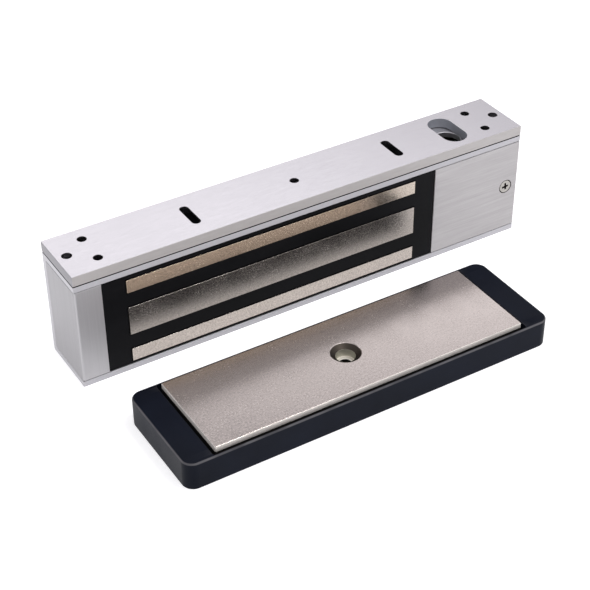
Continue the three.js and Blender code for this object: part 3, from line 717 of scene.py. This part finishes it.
def carve(piece, cuts, operation="DIFFERENCE"):
    """Cuts (or joins) the cutters and removes them."""
    for tool in cuts:
        step = piece.modifiers.new("carve", "BOOLEAN")
        step.operation = operation
        step.object = tool
        step.solver = "EXACT"
    bpy.context.view_layer.update()
    graph = bpy.context.evaluated_depsgraph_get()
    mesh = bpy.data.meshes.new_from_object(piece.evaluated_get(graph))
    piece.modifiers.clear()
    old = piece.data
    piece.data = mesh
    bpy.data.meshes.remove(old)
    mesh.name = piece.name
    for tool in cuts:
        shape = tool.data
        bpy.data.objects.remove(tool)
        bpy.data.meshes.remove(shape)
    return piece


def cutter(outline, levels, axes=ALONG_Z):
    return stack("cutter", outline, levels, axes)


def sunk(bottom, face, lip=0.3):
    """Levels for a blind hole from its bottom up to a face, with a broken edge."""
    return [(0, bottom), (0, face - lip), (-lip, face), (-lip, face + 1)]


def hole(outline, low, high, lip, axes=ALONG_Z):
    """A cutter that goes right through between two faces and breaks the hole's edges."""
    past = 2.0
    foot = [(-lip, low - past), (-lip, low), (0, low + lip)]
    return cutter(outline, foot + [(0, high - lip), (-lip, high), (-lip, high + past)], axes)


SHARP = math.radians(34)  # edges that bend more than this stay crisp


def shade(piece):
    """Smooth shading with crisp edges, held flat on large faces."""
    piece.data.shade_smooth()
    piece.data.set_sharp_from_angle(angle=SHARP)
    weights = piece.modifiers.new("flat_faces", "WEIGHTED_NORMAL")
    weights.keep_sharp = True


def settle(piece, *nodes):
    """The finished piece stands for its CAD nodes, on their body, in their material."""
    shade(piece)
    piece.data.materials.clear()
    piece.data.materials.append(MATERIALS[SLOT_OF[nodes[0]]])
    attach(piece, BODY_OF[nodes[0]])
    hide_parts(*nodes)


# ---- magnet: shell

WALL = 3.8


def make_mounting_plate():
    outline = rectangle(PLATE_LOW.xy, PLATE_HIGH.xy, 0.25)
    low, high = PLATE_LOW.z, PLATE_HIGH.z
    plate = stack("plate", outline, softened(low, high, 0.25, 0.25))
    inset, spread = 20.4, 10.5
    screws = [
        (x, MID_Y + side * spread)
        for x in (PLATE_LOW.x + inset, PLATE_HIGH.x - inset)
        for side in (-1, 1)
    ]
    screws.append(((PLATE_LOW.x + PLATE_HIGH.x) / 2, MID_Y))
    cuts = []
    for x, y in screws:
        sink = [(-2.7, low - 1), (-2.7, low), (0, low + 2.7), (0, high - 0.1), (-0.1, high),
                (-0.1, high + 1)]
        cuts.append(cutter(circle(x, y, 2.8), sink))
    for x in (PLATE_LOW.x + 83, PLATE_LOW.x + 221.8):
        pocket = [(-2.2, low - 1), (-2.2, low + 5), (0, low + 5), (0, high - 0.12),
                  (-0.12, high), (-0.12, high + 1)]
        cuts.append(cutter(slot_outline(x, MID_Y, 5.5, 20), pocket))
    for x in BOLT_X:
        cuts.append(hole(circle(x, MID_Y, 3.0), low, high, 0.1))
    cuts.append(hole(slot_outline(*WIRE_HOLE, 15.9, 30.2, 16), low, high, 0.15))
    settle(carve(plate, cuts), "mounting_plate")


def make_channel():
    y0, y1 = CHANNEL_LOW.y, CHANNEL_HIGH.y
    z0, z1 = CHANNEL_LOW.z, CHANNEL_HIGH.z
    corners = [(y0, z0), (y1, z0), (y1, z1), (y0, z1), (y0, z1 - WALL), (y1 - WALL, z1 - WALL),
               (y1 - WALL, z0 + WALL), (y0, z0 + WALL)]
    radii = [0.45, 0.9, 0.9, 0.45, 0.35, 1.2, 1.2, 0.35]
    levels = softened(CHANNEL_LOW.x, CHANNEL_HIGH.x, 0.3, 0.3)
    channel = stack("channel", polygon(corners, radii), levels, ALONG_X)
    cuts = [hole(circle(*WIRE_HOLE, 8.75, 64), z1 - WALL, z1, 0.3)]
    for x in BOLT_X:
        cuts.append(hole(circle(x, MID_Y, 3.3), z1 - WALL, z1, 0.2))
        sink = [(-2.7, z0 - 1), (-2.6, z0), (0, z0 + 3.3), (0, z0 + WALL + 1)]
        cuts.append(cutter(circle(x, MID_Y, 3.3), sink))
    settle(carve(channel, cuts), "housing_channel")


def make_end_blocks():
    for side, x in zip(("left", "right"), BOLT_X):
        node = f"{side}_end_block"
        low, high = box_mm(node)
        corners = [low.xy, (high.x, low.y), high.xy, (low.x, high.y)]
        radii = [1.3 if side == "left" else 0.3, 0.3, 0.4, 0.4]
        block = stack(node + "_milled", polygon(corners, radii, 7), softened(low.z, high.z, 0.25, 0.25))
        cuts = [hole(circle(x, MID_Y, 3.3), low.z, high.z, 0.3)]
        if side == "right":
            tap = circle(SCREW_MID.x, SCREW_MID.z, 2.1, 32)
            cuts.append(cutter(tap, sunk(-low.y - 12, -low.y, 0.4), FORWARD))
        settle(carve(block, cuts), node)


def make_cover():
    low, high = box_mm("compartment_cover")
    corners = [low.xy, (high.x, low.y), high.xy, (low.x, high.y)]
    outline = polygon(corners, [0.4, 0.4, 0.2, 0.2], 7)
    cover = stack("cover_panel", outline, softened(low.z, high.z, 0.35, 0.35))
    levels = [(0, -high.y - 1), (0, -low.y - 2.6), (-2.6, -low.y + 0.1), (-2.6, -low.y + 1)]
    sink = cutter(circle(SCREW_MID.x, SCREW_MID.z, 2.3, 64), levels, FORWARD)
    settle(carve(cover, [sink]), "compartment_cover")


def cross_recess(x, y, lift, span, width, deep, turn, axes):
    """Cutters for a Phillips recess that tapers towards its floor."""
    cuts = []
    for quarter in (0, math.pi / 2):
        angle = turn + quarter
        along = Vector((math.cos(angle), math.sin(angle)))
        across = Vector((-along.y, along.x))

        def outline(inset=0.0, along=along, across=across):
            half, thin = span / 2 - inset * 0.8, max(0.1, width / 2 - inset * 0.12)
            signs = ((-1, -1), (1, -1), (1, 1), (-1, 1))
            points = [along * half * a + across * thin * b for a, b in signs]
            return [(x + p.x, y + p.y) for p in points]

        levels = [(deep, lift - deep), (0, lift), (0, lift + 1)]
        cuts.append(cutter(outline, levels, axes))
    return cuts


def make_cover_screw():
    low, high = box_mm("cover_screw")
    centre = (low + high) / 2
    radius = (high.x - low.x) / 2
    face = -low.y  # heights run towards the front
    head = [(0, -13), (1.3, -13), (1.8, -12.2), (1.8, -2.6), (radius - 0.12, -0.32),
            (radius, -0.2), (radius - 0.1, -0.1), (radius * 0.75, -0.03), (radius * 0.4, 0), (0, 0)]
    screw = turned("phillips_screw", head, (centre.x, centre.z, face), FORWARD, 56)
    cuts = cross_recess(centre.x, centre.z, face, 5.2, 1.4, 2.6, math.radians(6), FORWARD)
    settle(carve(screw, cuts), "cover_screw")
    screw.data.materials[0] = COVER_SCREW_STEEL.material  # its own tone of the same steel, with painted shade in its cross recess


def make_magnet_bolts():
    for side, x in zip(("left", "right"), BOLT_X):
        node = f"magnet_bolt_{side}"
        low, high = box_mm(node)
        head = (high.x - low.x) / 2
        length = high.z - low.z
        profile = [(0, 0), (head - 0.25, 0), (head, 0.2), (2.7, 2.9), (2.7, length - 0.7),
                   (2.1, length), (0, length)]
        bolt = turned(node + "_turned", profile, (x, MID_Y, low.z), sides=48)
        hexagon = circle(x, MID_Y, 2.3, 6)
        levels = [(-0.3, low.z - 1), (-0.3, low.z), (0, low.z + 0.3), (0, low.z + 2.4)]
        settle(carve(bolt, [cutter(hexagon, levels)]), node)


# ---- magnet: core, coil and potting

POTTING_LOW, POTTING_HIGH = box_mm("potting")
POLE_Z = (CORE_LOW.z + CORE_HIGH.z) / 2
MIDDLE_HALF, WINDOW_HALF, CORE_HALF = 9.4, 19.6, 28.1  # up or down from POLE_Z
SPINE_FRONT = CORE_LOW.y + 22
LEGS = [(-CORE_HALF, -WINDOW_HALF), (-MIDDLE_HALF, MIDDLE_HALF), (WINDOW_HALF, CORE_HALF)]
LEAD_Y = CORE_LOW.y + 12
LEAD_Z = {name: sum(b.z for b in box_mm(f"coil_lead_{name}")) / 2 for name in ("black", "red")}
LEAD_RADIUS = 0.8
GAP = 0.3  # between the core, the coil and the resin


def make_core():
    y0, y1, spine = CORE_LOW.y, CORE_HIGH.y, SPINE_FRONT
    outline = [(y0, -CORE_HALF), (y1, -CORE_HALF), (y1, CORE_HALF), (y0, CORE_HALF),
               (y0, WINDOW_HALF), (spine, WINDOW_HALF), (spine, MIDDLE_HALF), (y0, MIDDLE_HALF),
               (y0, -MIDDLE_HALF), (spine, -MIDDLE_HALF), (spine, -WINDOW_HALF),
               (y0, -WINDOW_HALF)]
    corners = [(y, POLE_Z + z) for y, z in outline]
    radii = [0.1] * len(corners)
    levels = softened(CORE_LOW.x, CORE_HIGH.x, 0.1, 0.1)
    settle(stack("laminated_core", polygon(corners, radii, 4), levels, ALONG_X), "core_stack")


def make_potting():
    low, high = POTTING_LOW, POTTING_HIGH
    seat = box_mm("compartment_cover")
    ledge_x, ledge_y = seat[0].x - 0.3, seat[1].y + 0.3
    corners = [low.xy, (ledge_x, low.y), (ledge_x, ledge_y), (high.x, ledge_y), high.xy,
               (low.x, high.y)]
    radii = [0.4, 0.4, 0.3, 0.3, 0.5, 0.5]
    resin = stack("cast_resin", polygon(corners, radii, 4), softened(low.z, high.z, 0.4, 0.4))
    x0, x1 = CORE_LOW.x - GAP, CORE_HIGH.x + GAP
    cuts = []
    for bottom, top in LEGS:
        leg = rectangle((x0, POLE_Z + bottom - GAP), (x1, POLE_Z + top + GAP), 0.3)
        levels = [(0, -CORE_HIGH.y - GAP), (0, -low.y - 0.5), (-0.25, -low.y), (-0.25, -low.y + 1)]
        cuts.append(cutter(leg, levels, FORWARD))
    spine = rectangle((x0, CORE_LOW.z - GAP), (x1, CORE_HIGH.z + GAP), 0.3)
    cuts.append(cutter(spine, [(0, -CORE_HIGH.y - GAP), (0, -SPINE_FRONT + GAP)], FORWARD))
    near, far = box_mm("coil_bobbin")
    room = rectangle((near.x - GAP, near.z - GAP), (far.x + GAP, far.z + GAP), 6)
    cuts.append(cutter(room, [(0, -SPINE_FRONT), (0, -near.y + GAP)], FORWARD))
    for z in LEAD_Z.values():
        bore = circle(LEAD_Y, z, 1.3, 24)
        cuts.append(cutter(bore, sunk(CORE_HIGH.x + 9, high.x), ALONG_X))
    settle(carve(resin, cuts), "potting")


def make_coil():
    """The winding and its former, as rounded rings round the middle leg."""
    middle_low = Vector((CORE_LOW.x, POLE_Z - MIDDLE_HALF))
    middle_high = Vector((CORE_HIGH.x, POLE_Z + MIDDLE_HALF))
    around = Vector((1, 1))

    def ring(name, inner, outer, radius, front, back, edge):
        outside = rectangle(middle_low - around * outer, middle_high + around * outer, radius, 8)
        inside = rectangle(middle_low - around * inner, middle_high + around * inner, 1.0, 6)
        body = stack(name, outside, softened(-back, -front, edge, edge), FORWARD)
        return carve(body, [cutter(inside, [(0, -back - 1), (0, -front + 1)], FORWARD)])

    low, high = box_mm("coil_winding")
    settle(ring("copper_winding", 1.6, 9.6, 5, low.y, high.y, 0.8), "coil_winding")
    low, high = box_mm("coil_bobbin")
    former = ring("coil_former", 0.3, 1.3, 1, low.y, high.y, 0.1)
    front = ring("front_flange", 0.5, 9.9, 6, low.y, low.y + 1, 0.2)
    back = ring("back_flange", 0.5, 9.9, 6, high.y - 1, high.y, 0.2)
    settle(carve(former, [front, back], "UNION"), "coil_bobbin")


def make_leads():
    """Each lead as a smooth tube from the coil's end to the board."""
    board_front = box_mm("circuit_board")[0].y - 0.3
    exit_x = POTTING_HIGH.x
    y = LEAD_Y
    for colour, z in LEAD_Z.items():
        node = f"coil_lead_{colour}"
        start = box_mm(node)[0].x
        route = [(start, y), (start + 5, y), (exit_x, y), (exit_x + 4.5, y + 1.5),
                 (exit_x + 7.6, y + 6), (exit_x + 8.4, y + 11), (exit_x + 8.5, board_front)]
        curve = bpy.data.curves.new(node + "_tube", "CURVE")
        curve.dimensions = "3D"
        curve.bevel_depth = LEAD_RADIUS * MM
        curve.bevel_resolution = 4
        curve.resolution_u = 8
        curve.use_fill_caps = True
        spline = curve.splines.new("BEZIER")
        spline.bezier_points.add(len(route) - 1)
        for point, (px, py) in zip(spline.bezier_points, route):
            point.co = Vector((px, py, z)) * MM
            point.handle_left_type = point.handle_right_type = "AUTO"
        tube = bpy.data.objects.new(node + "_tube", curve)
        bpy.context.scene.collection.objects.link(tube)
        graph = bpy.context.evaluated_depsgraph_get()
        mesh = bpy.data.meshes.new_from_object(tube.evaluated_get(graph))
        bpy.data.objects.remove(tube)
        piece = bpy.data.objects.new(node + "_wire", mesh)
        bpy.context.scene.collection.objects.link(piece)
        settle(piece, node)


# ---- wiring compartment


def make_board():
    low, high = box_mm("circuit_board")
    outline = rectangle((low.x, low.z), (high.x, high.z), 1.5, 6)
    board = stack("laminate", outline, softened(-high.y, -low.y, 0.1, 0.1, 2), FORWARD)
    mid_x = (low.x + high.x) / 2
    cuts, rings = [], []
    for where in ("lower", "upper"):
        screw = middle_mm(f"board_screw_{where}")
        cuts.append(hole(circle(mid_x, screw.z, 1.8), -high.y, -low.y, 0.05, FORWARD))
        rings.append((mid_x, screw.z, 3.6, 1.9))
    settle(carve(board, cuts), "circuit_board")
    for colour in ("black", "red"):
        node = f"coil_lead_{colour}"
        rings.append((box_mm(node)[1].x - LEAD_RADIUS, middle_mm(node).z, 1.5, 0.4))
    for number, (x, z, outer, inner) in enumerate(rings):
        levels = [(0, -low.y - 0.02), (0, -low.y + 0.05), (0.05, -low.y + 0.08)]
        pad = stack(f"solder_pad_{number}", circle(x, z, outer, 32), levels, FORWARD)
        bore = cutter(circle(x, z, inner, 24), [(0, -low.y - 1), (0, -low.y + 1)], FORWARD)
        carve(pad, [bore])
        shade(pad)
        pad.data.materials.append(MATERIALS["screw_steel"])
        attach(pad, BODY_OF["circuit_board"])


def make_board_fixings():
    for where in ("lower", "upper"):
        node = f"board_standoff_{where}"
        low, high = box_mm(node)
        centre = (low + high) / 2
        hexagon = circle(centre.x, centre.z, (high.z - low.z) / 2, 6)
        levels = [(0.3, -high.y), (0, -high.y + 0.3), (0, -low.y - 0.3), (0.3, -low.y)]
        bar = stack(node + "_hex", hexagon, levels, FORWARD)
        tap = cutter(circle(centre.x, centre.z, 1.6, 24), sunk(-low.y - 5, -low.y), FORWARD)
        settle(carve(bar, [tap]), node)
        node = f"board_screw_{where}"
        low, high = box_mm(node)
        centre = (low + high) / 2
        top = high.y - low.y
        profile = [(0, 0), (1.1, 0), (1.3, 0.2), (1.3, top - 1.9), (2.7, top - 1.9), (2.8, top - 1.8),
                   (2.8, top - 1.2), (2.5, top - 0.5), (1.9, top - 0.12), (1.0, top), (0, top)]
        screw = turned(node + "_pan", profile, (centre.x, centre.z, -high.y), FORWARD, 32)
        recess = cross_recess(centre.x, centre.z, -low.y, 2.8, 0.6, 1.1, 0.4, FORWARD)
        settle(carve(screw, recess), node)


def make_terminals():
    low, high = box_mm("terminal_block")
    front, back = low.y, high.y
    corners = [(front, low.z), (back, low.z), (back, high.z), (front + 2, high.z),
               (front, high.z - 2)]
    block = stack("terminal_body", polygon(corners, [0.3, 0.2, 0.3, 0.4, 0.4], 4),
                  softened(low.x, high.x, 0.3, 0.3), ALONG_X)
    cuts = []
    screws = [middle_mm(f"terminal_screw_{n}") for n in range(1, 5)]
    for screw in screws:
        well = circle(screw.x, screw.z, 2.05, 32)
        cuts.append(cutter(well, sunk(-front - 6, -front), FORWARD))
        entry = rectangle((screw.x - 1.7, front + 3), (screw.x + 1.7, front + 7), 0.4, 4)
        cuts.append(cutter(entry, sunk(high.z - 5, high.z)))
    for left, right in zip(screws, screws[1:]):
        x = (left.x + right.x) / 2
        groove = rectangle((x - 0.15, low.z - 1), (x + 0.15, high.z + 1), 0.05, 2)
        cuts.append(cutter(groove, [(0, -front - 0.4), (0, -front + 1)], FORWARD))
    settle(carve(block, cuts), "terminal_block")
    for number, screw in enumerate(screws, 1):
        node = f"terminal_screw_{number}"
        low, high = box_mm(node)
        top = high.y - low.y
        profile = [(0, 0), (1.2, 0), (1.2, top - 1.6), (1.7, top - 1.6), (1.75, top - 1.5),
                   (1.75, top - 0.2), (1.6, top), (0, top)]
        body = turned(node + "_slotted", profile, (screw.x, screw.z, -high.y), FORWARD, 32)
        groove = rectangle((screw.x - 3, screw.z - 0.3), (screw.x + 3, screw.z + 0.3), 0.05, 2)
        slot = cutter(groove, [(0, -low.y - 0.8), (0, -low.y + 1)], FORWARD)
        settle(carve(body, [slot]), node)


def rounded_disc(radius, height, edge, steps=5):
    """A lathe profile for a disc with both rims rounded."""
    levels = softened(0, height, edge, edge, steps)
    return [(0, 0)] + [(radius - inset, z) for inset, z in levels] + [(0, height)]


def make_varistor():
    low, high = box_mm("surge_varistor")
    centre = (low + high) / 2
    radius = (high.x - low.x) / 2
    disc = turned("varistor_disc", rounded_disc(radius, high.y - low.y, 1.6),
                  (centre.x, centre.z, -high.y), FORWARD, 48)
    settle(disc, "surge_varistor")


def make_diode():
    low, high = box_mm("suppression_diode")
    centre = (low + high) / 2
    radius = 1.35
    y = low.y + radius
    half = 2.6
    length = high.x - low.x
    profile = [(0, -half), (radius - 0.3, -half), (radius, -half + 0.3), (radius, half - 0.3),
               (radius - 0.3, half), (0, half)]
    body = turned("diode_can", profile, (y, centre.z, centre.x), ALONG_X, 32)
    reach = length / 2 - 0.35
    wire = turned("cutter", [(0, -reach), (0.35, -reach), (0.35, reach), (0, reach)],
                  (y, centre.z, centre.x), ALONG_X, 16)
    feet = []
    for side in (-1, 1):
        foot = circle(centre.x + side * reach, centre.z, 0.35, 16)
        feet.append(cutter(foot, [(0, -high.y), (0, -y + 0.3)], FORWARD))
    settle(carve(body, [wire, *feet], "UNION"), "suppression_diode")


def make_header():
    low, high = box_mm("voltage_header")
    pitch, pins = 2.54, 3
    base_front = high.y - 2.5
    outline = rectangle((low.x, low.z), (high.x, high.z), 0.3, 3)
    base = stack("header_strip", outline, softened(-high.y, -base_front, 0.1, 0.2, 2), FORWARD)
    x = (low.x + high.x) / 2
    posts = []
    for index in range(pins):
        z = low.z + (index + 0.5) * pitch
        post = rectangle((x - 0.32, z - 0.32), (x + 0.32, z + 0.32), 0.05, 2)
        levels = [(0, -high.y + 1), (0, -low.y - 0.3), (0.18, -low.y)]
        posts.append(cutter(post, levels, FORWARD))
    settle(carve(base, posts, "UNION"), "voltage_header")
    low, high = box_mm("voltage_jumper")
    outline = rectangle((low.x, low.z), (high.x, high.z), 0.35, 4)
    cap = stack("jumper_cap", outline, softened(-high.y, -low.y, 0.15, 0.45, 3), FORWARD)
    holes = []
    for index in range(2):
        z = low.z + 1.22 + index * pitch
        bore = rectangle((x - 0.62, z - 0.62), (x + 0.62, z + 0.62), 0.1, 2)
        holes.append(cutter(bore, [(0, -high.y - 1), (0, -low.y - 0.3)], FORWARD))
    settle(carve(cap, holes), "voltage_jumper")


# ---- armature

HOLDER_LOW, HOLDER_HIGH = box_mm("armature_holder")
HOLDER_FLOOR = 3.5


def make_holder():
    outline = rectangle(HOLDER_LOW.xy, HOLDER_HIGH.xy, 7, 12)
    top = HOLDER_HIGH.z
    holder = stack("moulded_holder", outline, softened(0, top, 0.5, 1.2, 6))
    room = Vector((2.4, 2.6))  # round the plate
    pocket = rectangle(STEEL_LOW.xy - room, STEEL_HIGH.xy + room, 1.5)
    lip = 0.25
    levels = [(0, HOLDER_FLOOR), (0, top - lip), (-0.07, top - 0.07), (-lip, top), (-lip, top + 1)]
    cuts = [cutter(pocket, levels)]
    x, y = ARMATURE_MID.x, ARMATURE_MID.y
    cuts.append(cutter(circle(x, y, 12.5), [(0, 1.2), (0, 9)]))
    from_back = [(-0.3, -1), (-0.3, 0), (0, 0.3), (0, 9)]
    cuts.append(cutter(circle(x, y, 5.5), from_back))
    for guide in GUIDE_X:
        cuts.append(cutter(circle(guide, y, 3.5), from_back))
    for side in (-85, 85):
        sink = [(0, -1), (0, 1.2), (-2.15, HOLDER_FLOOR), (-2.15, 9)]
        cuts.append(cutter(circle(x + side, y, 2.25), sink))
    settle(carve(holder, cuts), "armature_holder")


def make_armature_plate():
    outline = rectangle(STEEL_LOW.xy, STEEL_HIGH.xy, 0.5, 3)
    plate = stack("strike_plate", outline, bevelled(STEEL_LOW.z, STEEL_HIGH.z, 0.25))
    x, y, top = ARMATURE_MID.x, ARMATURE_MID.y, STEEL_HIGH.z
    bottom = STEEL_LOW.z
    well = [(0, bottom - 1), (3.7, bottom - 1), (3.7, bottom), (3.3, bottom + 0.4),
            (3.3, top - 7.9), (3.7, top - 7.5), (5.8, top - 7.5), (5.8, top - 2.4),
            (9.0, top - 0.12), (9.15, top), (9.15, top + 1), (0, top + 1)]
    cuts = [turned("cutter", well, (x, y, 0), sides=96)]
    for guide in GUIDE_X:
        cuts.append(cutter(circle(guide, y, 2.7), [(0, bottom - 1), (0, bottom + 8)]))
    settle(carve(plate, cuts), "armature_plate")


def make_washers():
    edges = {"steel_washer_lower": 0.15, "rubber_washer": 0.4, "steel_washer_upper": 0.15}
    for node, edge in edges.items():
        low, high = box_mm(node)
        centre = (low + high) / 2
        radius = (high.x - low.x) / 2
        levels = softened(low.z, high.z, edge, edge, 3)
        disc = stack(node + "_ring", circle(centre.x, centre.y, radius), levels)
        ring = carve(disc, [hole(circle(centre.x, centre.y, 4), low.z, high.z, edge)])
        settle(ring, node)
        if node == "rubber_washer":
            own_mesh(ring)


def make_guide_pins():
    for side, x in zip(("left", "right"), GUIDE_X):
        node = f"guide_pin_{side}"
        low, high = box_mm(node)
        y = (low.y + high.y) / 2
        levels = [(0.5, low.z), (0, low.z + 0.8), (0, high.z - 0.5), (0.4, high.z)]
        pin = stack(node + "_rolled", circle(x, y, 2.4, 32), levels)
        bore = cutter(circle(x, y, 1.5, 32), [(0, low.z - 1), (0, high.z + 1)])
        slit = rectangle((x, y - 0.4), (x + 4, y + 0.4), 0.02, 1)
        slit = cutter(slit, [(0, low.z - 1), (0, high.z + 1)])
        settle(carve(pin, [bore, slit]), node)


make_mounting_plate()
make_channel()
make_end_blocks()
make_cover()
make_cover_screw()
make_magnet_bolts()
make_core()
make_potting()
make_coil()
make_leads()
make_board()
make_board_fixings()
make_terminals()
make_varistor()
make_diode()
make_header()
make_holder()
make_armature_plate()
make_washers()
make_guide_pins()
